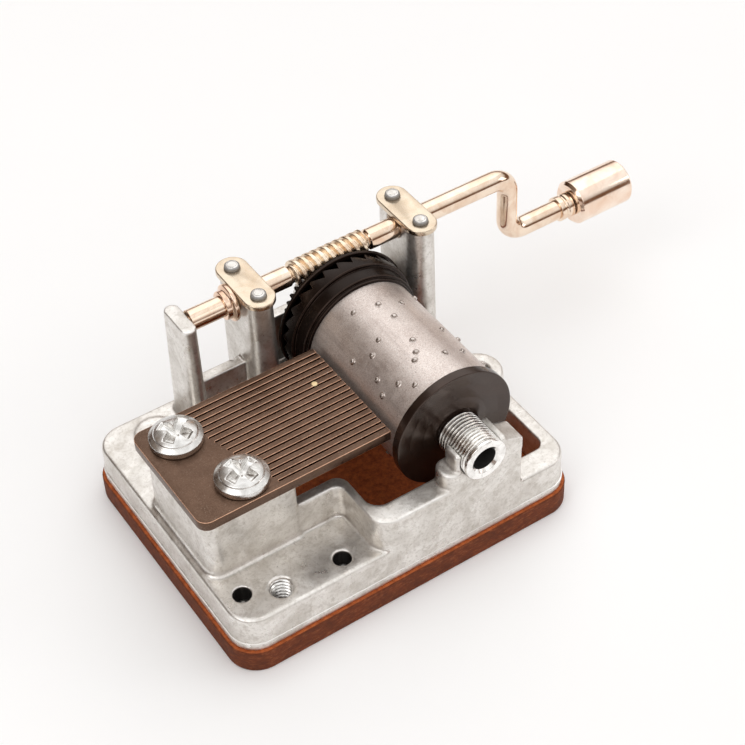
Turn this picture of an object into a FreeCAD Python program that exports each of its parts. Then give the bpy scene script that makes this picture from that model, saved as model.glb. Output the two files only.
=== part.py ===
import FreeCAD, Part
import math
import os

os.makedirs("parts", exist_ok=True)

V = FreeCAD.Vector
X_AXIS = V(1, 0, 0)
Y_AXIS = V(0, 1, 0)
Z_AXIS = V(0, 0, 1)

# Hand cranked cylinder music movement. Millimetres, Z up, origin at the middle of the
# underside of the board. X runs along the crank, Y along the drum, the comb's front is -Y.

# Board under the casting
board_length = 50.0
board_width = 39.4
board_thickness = 3.4
board_corner = 4.0

# Die cast frame
board_margin = 0.45         # board showing past the casting all round
base_height = 5.4
base_corner = 3.6
base_edge_round = 0.45
skirt_height = 1.1          # lower band of the base, below the parting line
skirt_step = 0.1
front_wall_height = 10.6    # above the board
front_wall_depth = 3.2
guard_wall = 1.15           # thin wall between the front shelf and the window
window_side = 2.1           # rail left beside the window at the right
cheek_top = 16.3            # left cheek of the sleeve's cradle

# Drum line
drum_x = 10.1
axis_height = 17.45
drum_radius = 8.0
drum_wall = 0.6
drum_front = -12.2
drum_length = 19.4
pin_radius = 0.27
pin_height = 0.35
cap_radius = 8.45
cap_thickness = 1.25
cap_hub_radius = 4.6
cap_hub_length = 0.25
cap_spigot = 2.0
arbor_radius = 1.6
arbor_recess = 3.0          # how far the arbor's end lies inside the sleeve
running_fit = 0.05          # radial play of every turning fit
push_fit = 0.02             # radial play of parts that are pushed together and stay

# Threaded bearing sleeve
sleeve_radius = 2.95
sleeve_root = 2.66
sleeve_pitch = 0.5
sleeve_proud = 0.75         # past the front face of the casting
sleeve_gap = 0.15           # end play between the sleeve and the drum's cap
sleeve_rim = 0.55

# Worm and gear
gear_teeth = 38
worm_starts = 2
rod_radius = 1.42
worm_radius = 1.73
worm_root = 1.12
worm_length = 11.6
worm_centre = 10.2
gear_pitch_radius = 6.88
tip_clearance = 0.1
tooth_width = 2.0
tooth_tip = 0.34
tooth_base = 0.54
tooth_depth = 0.62
gear_hub_radius = 3.2
hub_play = 0.3              # between the gear's hub and the rear wall

# Rings of the wheel in front of the gear: (start, end, radius), from front to back
wheel_step = (7.2, 7.68, 8.3)
wheel_band = (7.68, 9.5, 8.75)
wheel_ring = (9.5, 11.95, 9.25)
wheel_flange = (11.95, 12.3, 9.5)
notch_count = 27
notch_floor = 8.45
notch_front = 10.65
notch_groove = 11.7
notch_phase = -3.9          # one notch's tip, degrees from the top towards +X

# Comb
comb_thickness = 1.4
comb_left = -24.4
comb_front = -11.85
tooth_count = 18
tooth_pitch = 0.975
slit_width = 0.28
tip_gap = 0.12              # between the tooth tips and the pin circle
comb_bottom = 19.2
root_front = -13.0
root_rear = -18.4
comb_corner = 1.5
weight_count = 9
weight_drop = 0.9

# Pan head screws on the comb
comb_screws = ((-20.0, 1.9), (-16.8, -8.2))
pan_radius = 3.35
pan_height = 2.1
comb_screw_radius = 1.5
comb_screw_length = 8.5

# Posts and straps that carry the crank
crank_y = 14.15
post_inner_x = -2.42
post_outer_x = 21.98
post_inner_width = 3.56
post_outer_width = 3.96
post_depth = 9.6
post_draft = 0.2            # each side, over the height of a post
stud_spacing = 6.5
stud_radius = 0.97
stud_rise = 0.55
strap_length = 10.8
strap_width = 4.28
strap_thickness = 0.76
strap_gap = 0.05            # above the crank
end_post_x = -11.95
end_post_thickness = 2.1
end_post_depth = 6.1
end_post_top = 1.05         # above the crank's axis
end_post_heel = 0.95        # the end post leans out this far at the rear of its foot
link_wall_front = 12.5
link_wall = 1.65
wall_top = 16.4             # above the underside of the board
bearing_wall_front = 17.4
bearing_wall = 1.6
bearing_boss_radius = 3.3

# Crank
journal_radius = 0.7
journal_length = 1.4
journal_play = 0.1
arm_x = 38.4
arm_length = 10.2
bend_radius = 2.65
collar_radius = 2.5
collar_length = 1.5
collar_gap = 0.12           # between the collar and the strap beside it
knob_start = 49.35
knob_length = 9.1
knob_radius = 3.16
knob_edge = 0.45
knob_bore_depth = 6.5
ferrule_radius = 1.78
ferrule_length = 2.2
bead_radius = 1.62
bead_length = 0.9

# Holes in the casting and the screws that hold the board
shelf_holes = ((-21.6, -14.3), (-8.8, -16.5))
rear_hole = (-17.15, 15.0)
shelf_hole_radius = 1.15
mount_hole = (-17.15, -16.1)
mount_tap_radius = 1.45
mount_bevel = 0.32
side_boss = (20.9, -3.2)
side_boss_radius = 3.45
side_boss_top = 13.0
side_boss_bore = 1.75
side_boss_bore_depth = 4.0
board_screw_head = 2.1
board_screw_cone = 1.1
board_screw_length = 7.2

# Sizes that follow
base_bottom = board_thickness
base_top = base_bottom + base_height
base_half_x = board_length / 2 - board_margin
base_half_y = board_width / 2 - board_margin
pin_circle = drum_radius + pin_height
gear_tip_radius = gear_pitch_radius + 0.22
centre_distance = gear_tip_radius + worm_root + tip_clearance
crank_z = axis_height + centre_distance
crest_spacing = 2 * math.pi * gear_pitch_radius / gear_teeth
lead = worm_starts * crest_spacing
strap_bottom = crank_z + rod_radius + strap_gap
drum_back = drum_front + drum_length
gear_rim_end = crank_y + tooth_width / 2
cap_front = drum_front - cap_thickness
sleeve_front = -base_half_y - sleeve_proud
sleeve_back = cap_front - cap_hub_length - sleeve_gap
sleeve_length = sleeve_back - sleeve_front
front_wall_top = base_bottom + front_wall_height
front_wall_back = -base_half_y + front_wall_depth
comb_top = comb_bottom + comb_thickness
comb_width = tooth_count * tooth_pitch
comb_rear = comb_front + comb_width
tip_radius = pin_circle + tip_gap
comb_tip = drum_x - math.sqrt(tip_radius ** 2 - (comb_bottom - axis_height) ** 2)


def block(x0, x1, y0, y1, z0, z1):
    return Part.makeBox(x1 - x0, y1 - y0, z1 - z0, V(x0, y0, z0))


def rod_x(radius, x0, x1, y, z):
    return Part.makeCylinder(radius, x1 - x0, V(x0, y, z), X_AXIS)


def rod_y(radius, y0, y1, x, z):
    return Part.makeCylinder(radius, y1 - y0, V(x, y0, z), Y_AXIS)


def rod_z(radius, z0, z1, x, y):
    return Part.makeCylinder(radius, z1 - z0, V(x, y, z0), Z_AXIS)


def outline(corners):
    # Closed wire through (x, y, corner radius) points, with true arcs at the corners.
    count = len(corners)
    starts = []
    ends = []
    mids = []
    for i in range(count):
        x, y, r = corners[i]
        here = V(x, y, 0)
        before = V(corners[i - 1][0], corners[i - 1][1], 0)
        after = V(corners[(i + 1) % count][0], corners[(i + 1) % count][1], 0)
        if r <= 0:
            starts.append(here)
            ends.append(here)
            mids.append(None)
            continue
        u = (before - here).normalize()
        w = (after - here).normalize()
        half = u.getAngle(w) / 2
        reach = r / math.tan(half)
        centre = here + (u + w).normalize() * (r / math.sin(half))
        starts.append(here + u * reach)
        ends.append(here + w * reach)
        mids.append(centre + (here - centre).normalize() * r)
    edges = []
    for i in range(count):
        if mids[i] is not None:
            edges.append(Part.Arc(starts[i], mids[i], ends[i]).toShape())
        nxt = starts[(i + 1) % count]
        if (nxt - ends[i]).Length > 1e-6:
            edges.append(Part.makeLine(ends[i], nxt))
    return Part.Wire(edges)


def prism(corners, z0, z1):
    face = Part.Face(outline(corners))
    face.translate(V(0, 0, z0))
    return face.extrude(V(0, 0, z1 - z0))


def plate(half_x, half_y, radius, z0, z1):
    corners = [(-half_x, -half_y, radius), (half_x, -half_y, radius),
               (half_x, half_y, radius), (-half_x, half_y, radius)]
    return prism(corners, z0, z1)


def stadium(cx, cy, length, width, z0, z1):
    # Round-ended bar, long along Y.
    hx = width / 2
    hy = length / 2
    corners = [(cx - hx, cy - hy, hx), (cx + hx, cy - hy, hx),
               (cx + hx, cy + hy, hx), (cx - hx, cy + hy, hx)]
    return prism(corners, z0, z1)


def spun(profile, origin, axis, sideways):
    # Solid of revolution: profile points are (distance along axis, radius).
    points = [origin + axis * a + sideways * r for a, r in profile]
    points.append(points[0])
    face = Part.Face(Part.makePolygon(points))
    return face.revolve(origin, axis, 360)


def thread_ridge(pitch, length, root, crest, root_width, crest_width):
    # Right-handed helical ridge up Z, starting towards +X at z = 0.
    helix = Part.makeHelix(pitch, length, root)
    h0 = root_width / 2
    h1 = crest_width / 2
    sink = root - 0.08
    points = [V(sink, 0, -h0), V(crest, 0, -h1), V(crest, 0, h1), V(sink, 0, h0),
              V(sink, 0, -h0)]
    return Part.Wire(helix).makePipeShell([Part.makePolygon(points)], True, True)


def save(name, shape):
    shape.exportStep("parts/" + name + ".step")
    print(name, len(shape.Solids), round(shape.Volume, 2), shape.isValid())


def fused(shapes):
    return shapes[0].multiFuse(shapes[1:]).removeSplitter()


# Board, with countersunk screw holes from below
screw_spots = list(shelf_holes) + [rear_hole, side_boss]
board = plate(board_length / 2, board_width / 2, board_corner, 0, board_thickness)
board_edges = [e for e in board.Edges if e.BoundBox.ZLength < 1e-6]
board = board.makeFillet(0.25, board_edges)
board_cuts = []
for x, y in screw_spots:
    board_cuts.append(rod_z(shelf_hole_radius, -1, board_thickness + 1, x, y))
    board_cuts.append(Part.makeCone(board_screw_head, shelf_hole_radius,
                                    board_screw_cone, V(x, y, 0), Z_AXIS))
save("base_board", board.cut(Part.makeCompound(board_cuts)))

# Screws that hold the board
board_screws = []
for x, y in screw_spots:
    thread = shelf_hole_radius - push_fit
    profile = [(0, 0), (0, board_screw_head), (board_screw_cone, shelf_hole_radius),
               (board_screw_cone, thread), (board_screw_length - 0.9, thread),
               (board_screw_length, 0.25), (board_screw_length, 0)]
    screw = spun(profile, V(x, y, 0), Z_AXIS, X_AXIS)
    slot_a = block(x - 1.3, x + 1.3, y - 0.2, y + 0.2, 0, 0.6)
    slot_b = block(x - 0.2, x + 0.2, y - 1.3, y + 1.3, 0, 0.6)
    board_screws.append(screw.cut(slot_a.fuse(slot_b)))
save("board_screws", Part.makeCompound(board_screws))

# Base of the casting
base = plate(base_half_x - skirt_step, base_half_y - skirt_step, base_corner,
             base_bottom, base_top)
top_edges = [e for e in base.Edges
             if e.BoundBox.ZLength < 1e-6 and e.BoundBox.ZMin > base_top - 0.01]
base = base.makeFillet(base_edge_round, top_edges)
skirt = plate(base_half_x, base_half_y, base_corner, base_bottom,
              base_bottom + skirt_height)

# Window through the base, down to the board
guard_x = -4.9
window_left = -10.0
window_right = base_half_x - window_side
inner_x = guard_x + guard_wall
inner_y = -8.8
post_foot_left = post_inner_x + post_inner_width / 2 + 0.5
post_foot_right = post_outer_x - post_outer_width / 2 - 0.6
window_back = wheel_flange[1] + 1.0
post_front = crank_y - post_depth / 2
window = prism([(window_left, inner_y, 0), (inner_x, inner_y, 1.8),
                (inner_x, front_wall_back, 2.0), (16.5, front_wall_back, 0),
                (16.5, front_wall_back + 0.35, 0),
                (window_right, front_wall_back + 0.35, 1.3),
                (window_right, post_front - 0.9, 0.8),
                (post_foot_right, post_front - 0.9, 0.8),
                (post_foot_right, window_back, 1.0),
                (post_foot_left, window_back, 1.0),
                (post_foot_left, post_front - 0.9, 0.8),
                (window_left, post_front - 0.9, 1.0)], base_bottom - 1, base_top + 1)
base = fused([base, skirt]).cut(window)

# Walls: comb pedestal, curved guard wall, front wall
pedestal = prism([(-23.4, -10.6, 1.8), (-10.9, -10.6, 0.5), (-10.9, 5.0, 0.5),
                  (-23.4, 5.0, 1.8)], base_top - 1, comb_bottom)
guard = prism([(-11.4, -10.4, 0), (guard_x, -10.4, 1.3), (guard_x, -base_half_y, 2.8),
               (16.2, -base_half_y, 0.3), (16.2, front_wall_back, 0.3),
               (inner_x, front_wall_back, 2.0), (inner_x, inner_y, 1.8),
               (-11.4, inner_y, 0)], base_top - 1.5, front_wall_top)
front_skirt = block(guard_x + 3.2, 16.2, -base_half_y, front_wall_back,
                    base_bottom + 0.5, base_top)

# Cradle that holds the bearing sleeve: low rounded cheek, high cheek with a sloping
# shoulder, and an ear pressed over the sleeve at each side
cradle_back = front_wall_back + 0.4
cradle = prism([(4.9, -base_half_y, 1.5), (16.2, -base_half_y, 0.3),
                (16.2, cradle_back, 0.3), (4.9, cradle_back, 1.5)],
               front_wall_top - 1, cheek_top)
high_cheek = block(12.2, 16.2, -base_half_y, cradle_back, cheek_top - 1,
                   axis_height + 1.0)
shoulder = Part.Face(Part.makePolygon([V(16.3, 0, axis_height - 0.35),
                                       V(16.3, 0, axis_height + 2),
                                       V(13.4, 0, axis_height + 2),
                                       V(13.4, 0, axis_height + 0.75),
                                       V(16.3, 0, axis_height - 0.35)]))
shoulder.translate(V(0, -base_half_y - 1, 0))
high_cheek = high_cheek.cut(shoulder.extrude(V(0, front_wall_depth + 3, 0)))
ear_left = prism([(6.5, -base_half_y + 0.35, 0.6), (8.6, -base_half_y + 0.35, 0),
                  (8.6, cradle_back - 0.4, 0), (6.5, cradle_back - 0.4, 0.6)],
                 cheek_top - 1, axis_height + 1.35)
ear_rims = [e for e in ear_left.Edges if e.BoundBox.ZLength < 1e-6
            and e.BoundBox.ZMin > axis_height]
ear_left = ear_left.makeFillet(0.45, ear_rims)
ear_right = block(12.4, 13.7, -base_half_y + 0.3, cradle_back + 0.7, axis_height - 1.5,
                  axis_height + 1.2)
sleeve_seat = rod_y(sleeve_radius + push_fit, -base_half_y - 1, cradle_back + 2,
                    drum_x, axis_height)

# Posts with studs, end post, link wall and rear bearing wall
crank_seat = rod_radius + running_fit


def drafted(low, high, z0, z1):
    # Round-ended column; low and high are (centre x, centre y, length along Y, width).
    wires = []
    for (cx, cy, length, width), z in ((low, z0), (high, z1)):
        hx = width / 2
        hy = length / 2
        corners = [(cx - hx, cy - hy, hx), (cx + hx, cy - hy, hx),
                   (cx + hx, cy + hy, hx), (cx - hx, cy + hy, hx)]
        wire = outline(corners)
        wire.translate(V(0, 0, z))
        wires.append(wire)
    return Part.makeLoft(wires, True, True)


def post(x, width):
    foot = (x, crank_y, post_depth + post_draft, width + 2 * post_draft)
    column = drafted(foot, (x, crank_y, post_depth, width), base_top - 1, strap_bottom)
    notch = block(x - width, x + width, crank_y - crank_seat, crank_y + crank_seat,
                  crank_z, strap_bottom + 1)
    trough = rod_x(crank_seat, x - width, x + width, crank_y, crank_z)
    solids = [column]
    for side in (-1, 1):
        y = crank_y + side * stud_spacing / 2
        stud = rod_z(stud_radius, strap_bottom - 1,
                     strap_bottom + strap_thickness + stud_rise, x, y)
        rim = [e for e in stud.Edges if e.BoundBox.ZLength < 1e-6
               and e.BoundBox.ZMin > strap_bottom]
        solids.append(stud.makeFillet(0.25, rim))
    return fused(solids).cut(notch.fuse(trough))


end_face = end_post_x + end_post_thickness / 2
end_foot = (end_post_x, crank_y + end_post_heel / 2, end_post_depth + end_post_heel,
            end_post_thickness + post_draft)
end_post = drafted(end_foot, (end_post_x, crank_y, end_post_depth, end_post_thickness),
                   base_top - 1, crank_z + end_post_top)
end_hole = rod_x(journal_radius + running_fit, end_face - journal_length - 0.1,
                 end_face + 1, crank_y, crank_z)
end_post = end_post.cut(end_hole)
link = block(end_post_x, post_inner_x, link_wall_front, link_wall_front + link_wall,
             base_top - 1, wall_top)
nick = block(post_inner_x - 3.3, post_inner_x - 2.9,
             link_wall_front + link_wall - 0.55, link_wall_front + link_wall + 1,
             wall_top - 0.3, wall_top + 1)
rear_wall = block(post_inner_x, post_outer_x, bearing_wall_front,
                  bearing_wall_front + bearing_wall, base_bottom + 1, wall_top)
rear_boss = rod_y(bearing_boss_radius, bearing_wall_front,
                  bearing_wall_front + bearing_wall, drum_x, axis_height)
rear_bore = rod_y(arbor_radius + running_fit, bearing_wall_front - 1,
                  bearing_wall_front + bearing_wall + 1, drum_x, axis_height)
boss = rod_z(side_boss_radius, base_bottom, side_boss_top, side_boss[0], side_boss[1])
boss_rim = [e for e in boss.Edges if e.BoundBox.ZLength < 1e-6
            and e.BoundBox.ZMin > base_bottom + 1]
boss = boss.makeFillet(0.4, boss_rim)
rear_ring = rod_z(2.7, base_top - 1, base_top + 0.2, rear_hole[0], rear_hole[1])

frame = fused([base, pedestal, guard, front_skirt, cradle, high_cheek, ear_left,
               ear_right, link, rear_wall, rear_boss, boss, rear_ring, end_post,
               post(post_inner_x, post_inner_width),
               post(post_outer_x, post_outer_width)])
frame_cuts = [sleeve_seat, rear_bore, nick]
for x, y in screw_spots:
    frame_cuts.append(rod_z(shelf_hole_radius, base_bottom - 1, base_top + 1, x, y))
frame_cuts.append(rod_z(side_boss_bore, side_boss_top - side_boss_bore_depth,
                        side_boss_top + 1, side_boss[0], side_boss[1]))
for x, y in comb_screws:
    frame_cuts.append(rod_z(comb_screw_radius, comb_bottom - comb_screw_length + 1,
                            comb_bottom + 1, x, y))
# Tapped mounting hole, cut at its tapping size with an entry bevel
frame_cuts.append(rod_z(mount_tap_radius, base_bottom - 1, base_top + 1, mount_hole[0],
                        mount_hole[1]))
frame_cuts.append(Part.makeCone(mount_tap_radius - 0.05, mount_tap_radius + mount_bevel,
                                mount_bevel + 0.05,
                                V(mount_hole[0], mount_hole[1], base_top - mount_bevel),
                                Z_AXIS))
frame = frame.cut(Part.makeCompound(frame_cuts))
save("cast_frame", frame)

# Comb: plate with slits that end on a slanting line
comb = prism([(comb_left, comb_front, comb_corner), (comb_tip, comb_front, 0),
              (comb_tip, comb_rear, 0), (comb_left, comb_rear, comb_corner)],
             comb_bottom, comb_top)
comb_cuts = []
for i in range(1, tooth_count):
    y = comb_front + i * tooth_pitch
    root = root_front + (root_rear - root_front) * i / tooth_count
    comb_cuts.append(block(root, comb_tip + 1, y - slit_width / 2, y + slit_width / 2,
                           comb_bottom - 1, comb_top + 1))
    comb_cuts.append(rod_z(slit_width / 2, comb_bottom - 1, comb_top + 1, root, y))
for x, y in comb_screws:
    comb_cuts.append(rod_z(comb_screw_radius + 0.2, comb_bottom - 1, comb_top + 1, x, y))
save("comb", comb.cut(Part.makeCompound(comb_cuts)))

# Tuning weights under the longer teeth
weights = []
for i in range(weight_count):
    y = comb_rear - (i + 0.5) * tooth_pitch
    half = (tooth_pitch - slit_width) / 2 - 0.06
    reach = 4.6 - 0.32 * i
    drop = weight_drop - 0.04 * i
    weights.append(block(comb_tip - 1.2 - reach, comb_tip - 1.2, y - half, y + half,
                         comb_bottom - drop, comb_bottom))
save("comb_weights", Part.makeCompound(weights))

# Pan head screws with a cross recess
pan_screws = []
for x, y in comb_screws:
    dome = pan_radius * 1.55
    drop = dome - math.sqrt(dome ** 2 - pan_radius ** 2)
    ball = Part.makeSphere(dome, V(x, y, comb_top + pan_height - dome))
    side = pan_height - drop
    head = rod_z(pan_radius, comb_top, comb_top + pan_height, x, y).common(ball)
    shank = rod_z(comb_screw_radius - push_fit, comb_bottom - comb_screw_length + 1.5,
                  comb_top + side, x, y)
    wing = 0.42
    reach = 1.9
    depth = 1.25
    cross = [block(-reach, reach, -wing, wing, 0, 3), block(-wing, wing, -reach, reach, 0, 3),
             Part.makeCone(0.35, 1.25, depth, V(0, 0, 0), Z_AXIS)]
    recess = fused(cross)
    recess.rotate(V(0, 0, 0), Z_AXIS, 35 if x < comb_screws[1][0] else 20)
    recess.translate(V(x, y, comb_top + pan_height - depth))
    pan_screws.append(fused([head, shank]).cut(recess))
save("comb_screws", Part.makeCompound(pan_screws))

# Threaded sleeve that carries the front of the drum
sleeve_core = spun([(0, arbor_radius + running_fit + 0.35),
                    (0, sleeve_radius - 0.12), (0.12, sleeve_radius),
                    (sleeve_rim, sleeve_radius), (sleeve_rim, sleeve_root),
                    (sleeve_length, sleeve_root),
                    (sleeve_length, arbor_radius + running_fit),
                    (0.35, arbor_radius + running_fit)],
                   V(drum_x, sleeve_front, axis_height), Y_AXIS, X_AXIS)
thread_length = sleeve_length - sleeve_rim - sleeve_pitch
ridge = thread_ridge(sleeve_pitch, thread_length, sleeve_root, sleeve_radius, 0.42, 0.10)
ridge.rotate(V(0, 0, 0), X_AXIS, -90)
ridge.translate(V(drum_x, sleeve_front + sleeve_rim + sleeve_pitch / 2, axis_height))
save("bearing_sleeve", fused([sleeve_core, ridge]))

# Drum shell with its raised pins. Each pin is (track, angle from the top towards +X).
seen_pins = ((16, -21), (15, 1), (14, 22), (16, 51), (10, -22), (7, 0), (9, -36),
             (5, -6), (4, -12), (3, 15), (11, -53), (6, -48), (3, -37), (1, -27),
             (4, -55), (8, 39), (7, 58), (3, 36), (12, 4), (2, 62))
pins = list(seen_pins)
for track in range(tooth_count):
    for k in range(2 + track % 2):
        pins.append((track, 84 + (track * 61 + k * 79) % 190))
drum_origin = V(drum_x, 0, axis_height)
tube = rod_y(drum_radius, drum_front, drum_back, drum_x, axis_height)
hollow = rod_y(drum_radius - drum_wall, drum_front - 1, drum_back + 1, drum_x, axis_height)
pin_solids = []
for track, angle in pins:
    y = comb_front + (track + 0.5) * tooth_pitch
    pin = Part.makeCone(pin_radius, pin_radius * 0.7, pin_height + 0.25,
                        V(0, y, drum_radius - 0.25), Z_AXIS)
    pin.rotate(V(0, 0, 0), Y_AXIS, angle)
    pin.translate(drum_origin)
    pin_solids.append(pin)
save("drum_shell", tube.cut(hollow).multiFuse(pin_solids))

# Front cap of the drum, with a coned hub and a spigot inside the shell
spigot_radius = drum_radius - drum_wall - push_fit
cap = spun([(-cap_hub_length, arbor_radius + push_fit), (-cap_hub_length, 3.4),
            (0, cap_hub_radius), (0, cap_radius - 0.15), (0.15, cap_radius),
            (cap_thickness - 0.1, cap_radius), (cap_thickness, cap_radius - 0.1),
            (cap_thickness, spigot_radius), (cap_thickness + cap_spigot, spigot_radius),
            (cap_thickness + cap_spigot, spigot_radius - 1.2),
            (cap_thickness, spigot_radius - 1.2), (cap_thickness, gear_hub_radius),
            (cap_thickness + cap_spigot, gear_hub_radius),
            (cap_thickness + cap_spigot, arbor_radius + push_fit)],
           V(drum_x, cap_front, axis_height), Y_AXIS, X_AXIS)
save("drum_front_cap", cap)

# Wheel that closes the rear of the drum: band, notched ring, flange and worm gear
gear_root_radius = gear_tip_radius - tooth_depth
hub_end = bearing_wall_front - hub_play
gear_profile = [(drum_back - cap_spigot, arbor_radius + push_fit),
                (drum_back - cap_spigot, gear_hub_radius), (drum_back, gear_hub_radius),
                (drum_back, spigot_radius - 1.2),
                (drum_back - cap_spigot, spigot_radius - 1.2),
                (drum_back - cap_spigot, spigot_radius), (drum_back, spigot_radius),
                (drum_back, drum_radius + 0.1), (wheel_step[0] + 0.1, wheel_step[2]),
                (wheel_step[1], wheel_step[2]), (wheel_band[0], wheel_band[2] - 0.15),
                (wheel_band[0] + 0.1, wheel_band[2] - 0.08), (wheel_band[1], wheel_band[2]),
                (wheel_ring[0], wheel_ring[2] - 0.12), (wheel_ring[0] + 0.12, wheel_ring[2]),
                (notch_groove, wheel_ring[2]), (notch_groove, notch_floor),
                (wheel_flange[0], notch_floor), (wheel_flange[0], wheel_flange[2] - 0.08),
                (wheel_flange[0] + 0.08, wheel_flange[2]),
                (wheel_flange[1], wheel_flange[2]), (wheel_flange[1], gear_root_radius),
                (gear_rim_end, gear_root_radius), (gear_rim_end, gear_hub_radius),
                (hub_end, gear_hub_radius), (hub_end, arbor_radius + push_fit)]
gear_solids = [spun(gear_profile, V(drum_x, 0, axis_height), Y_AXIS, X_AXIS)]
lean = math.degrees(math.atan(lead / (2 * math.pi * (worm_radius - 0.24))))
tooth_sink = gear_root_radius - 0.35
tooth_face = Part.Face(Part.makePolygon([
    V(-tooth_base / 2, -tooth_width / 2, tooth_sink),
    V(tooth_base / 2, -tooth_width / 2, tooth_sink),
    V(tooth_base / 2, -tooth_width / 2, gear_root_radius),
    V(tooth_tip / 2, -tooth_width / 2, gear_tip_radius),
    V(-tooth_tip / 2, -tooth_width / 2, gear_tip_radius),
    V(-tooth_base / 2, -tooth_width / 2, gear_root_radius),
    V(-tooth_base / 2, -tooth_width / 2, tooth_sink)]))
tooth = tooth_face.extrude(V(0, tooth_width, 0))
tooth.rotate(V(0, 0, 0), Z_AXIS, -lean)
rim_slice = spun([(-tooth_width / 2, 0), (-tooth_width / 2, gear_tip_radius),
                  (tooth_width / 2, gear_tip_radius), (tooth_width / 2, 0)],
                 V(0, 0, 0), Y_AXIS, X_AXIS)
tooth = tooth.common(rim_slice)
for i in range(gear_teeth):
    copy = tooth.copy()
    copy.rotate(V(0, 0, 0), Y_AXIS, 360.0 * i / gear_teeth)
    copy.translate(V(drum_x, crank_y, axis_height))
    gear_solids.append(copy)
wheel = fused(gear_solids)
notch_reach = 2 * math.pi * wheel_ring[2] / notch_count
notch_face = Part.Face(Part.makePolygon([
    V(-0.25, notch_front, notch_floor), V(0.02, notch_groove + 0.1, notch_floor),
    V(0.1 - notch_reach, notch_groove + 0.1, notch_floor),
    V(-0.25, notch_front, notch_floor)]))
notch = notch_face.extrude(V(0, 0, 1.5))
notches = []
for i in range(notch_count):
    copy = notch.copy()
    copy.rotate(V(0, 0, 0), Y_AXIS, notch_phase + 360.0 * i / notch_count)
    copy.translate(V(drum_x, 0, axis_height))
    notches.append(copy)
save("drum_gear", wheel.cut(Part.makeCompound(notches)))

# Arbor through the drum
arbor_start = sleeve_front + arbor_recess
arbor_end = bearing_wall_front + bearing_wall + 0.4
arbor = rod_y(arbor_radius, arbor_start, arbor_end, drum_x, axis_height)
arbor_ends = [e for e in arbor.Edges if e.BoundBox.YLength < 1e-6]
save("drum_arbor", arbor.makeChamfer(0.2, arbor_ends))

# Crank: journal, straight rod with the worm, two bends, grip with ferrule and bead
rod_start = end_face + journal_play
worm_start = drum_x - crest_spacing * (round((drum_x - worm_centre + worm_length / 2)
                                             / crest_spacing - 0.5) + 0.5)
worm_end = worm_start + worm_length
knob_z = crank_z - arm_length
grip_end = knob_start + knob_bore_depth - 0.3
p0 = V(worm_end + 0.3, crank_y, crank_z)
p1 = V(arm_x - bend_radius, crank_y, crank_z)
p2 = V(arm_x, crank_y, crank_z - bend_radius)
p3 = V(arm_x, crank_y, knob_z + bend_radius)
p4 = V(arm_x + bend_radius, crank_y, knob_z)
p5 = V(grip_end, crank_y, knob_z)
diag = bend_radius * math.sin(math.pi / 4)
mid_top = V(p1.x + diag, crank_y, p2.z + diag)
mid_low = V(p4.x - diag, crank_y, p3.z - diag)
path = Part.Wire([Part.makeLine(p0, p1), Part.Arc(p1, mid_top, p2).toShape(),
                  Part.makeLine(p2, p3), Part.Arc(p3, mid_low, p4).toShape(),
                  Part.makeLine(p4, p5)])
ring = Part.Wire([Part.makeCircle(rod_radius, p0, X_AXIS)])
bent = path.makePipeShell([ring], True, True)
straight = spun([(rod_start - journal_play - journal_length, 0),
                 (rod_start - journal_play - journal_length, journal_radius),
                 (rod_start, journal_radius), (rod_start, rod_radius),
                 (worm_start - 0.35, rod_radius), (worm_start, worm_root),
                 (worm_end, worm_root), (worm_end + 0.3, rod_radius),
                 (worm_end + 0.6, rod_radius), (worm_end + 0.6, 0)],
                V(0, crank_y, crank_z), X_AXIS, Z_AXIS)
worm_parts = [straight, bent]
for start in range(worm_starts):
    turn_ridge = thread_ridge(lead, worm_length, worm_root, worm_radius, 0.62, 0.36)
    turn_ridge.rotate(V(0, 0, 0), Z_AXIS, 360.0 * start / worm_starts)
    turn_ridge.rotate(V(0, 0, 0), Y_AXIS, 90)
    turn_ridge.translate(V(worm_start, crank_y, crank_z))
    worm_parts.append(turn_ridge)
ferrule = rod_x(ferrule_radius, knob_start - ferrule_length - 0.15, knob_start - 0.15,
                crank_y, knob_z)
bead_at = knob_start + 3.4
bead = spun([(bead_at, 0), (bead_at, rod_radius), (bead_at + 0.2, bead_radius),
             (bead_at + bead_length - 0.2, bead_radius), (bead_at + bead_length, rod_radius),
             (bead_at + bead_length, 0)], V(0, crank_y, knob_z), X_AXIS, Z_AXIS)
crank = worm_parts[0]
for piece in worm_parts[1:] + [ferrule, bead]:
    crank = crank.fuse(piece)
save("crank_rod", crank)

# Flared collar beside the inner post
collar_end = post_inner_x - strap_width / 2 - collar_gap
collar = spun([(-collar_length, rod_radius + push_fit), (-collar_length, 1.95),
               (-0.75, 1.95), (-0.45, collar_radius), (0, collar_radius),
               (0, rod_radius + push_fit)],
              V(collar_end, crank_y, crank_z), X_AXIS, Z_AXIS)
save("crank_collar", collar)

# Knob that turns on the grip, held by the bead in its groove
bore = rod_radius + running_fit
knob = spun([(0, bore), (0, knob_radius - knob_edge), (knob_edge, knob_radius),
             (knob_length - knob_edge, knob_radius), (knob_length, knob_radius - knob_edge),
             (knob_length, 0), (knob_bore_depth, 0), (knob_bore_depth, bore),
             (3.4 + bead_length + 0.15, bore), (3.4 + bead_length + 0.15, bead_radius + 0.1),
             (3.25, bead_radius + 0.1), (3.25, bore)],
            V(knob_start, crank_y, knob_z), X_AXIS, Z_AXIS)
save("crank_knob", knob)

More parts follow.
